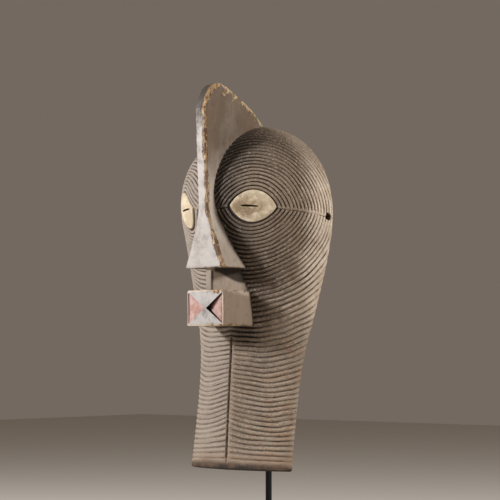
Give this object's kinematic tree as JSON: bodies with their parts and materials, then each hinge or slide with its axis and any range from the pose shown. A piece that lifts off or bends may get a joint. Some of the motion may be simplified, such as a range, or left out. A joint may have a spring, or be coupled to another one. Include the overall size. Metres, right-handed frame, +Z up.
{
  "type": "kifwebe mask",
  "caption": "Carved wooden face mask with a tall flat crest, a box mouth and fine curved grooves, open at the back, held upright on a black display rod with a plate foot.",
  "frame": {"origin": "centre of the stand foot's underside", "axes": "+Z up, -Y the way the mask faces, +X the mask's left side"},
  "size_m": [0.2386, 0.2009, 0.6658],
  "materials": {
    "worn_painted_wood": "matte, carved in fine grooves, grey-brown with pale pigment worn off the ridges",
    "black_painted_steel": "satin black paint"
  },
  "bodies": {
    "root": {"mask": "worn_painted_wood", "stand_rod": "black_painted_steel", "stand_foot": "black_painted_steel"}
  },
  "joints": []
}
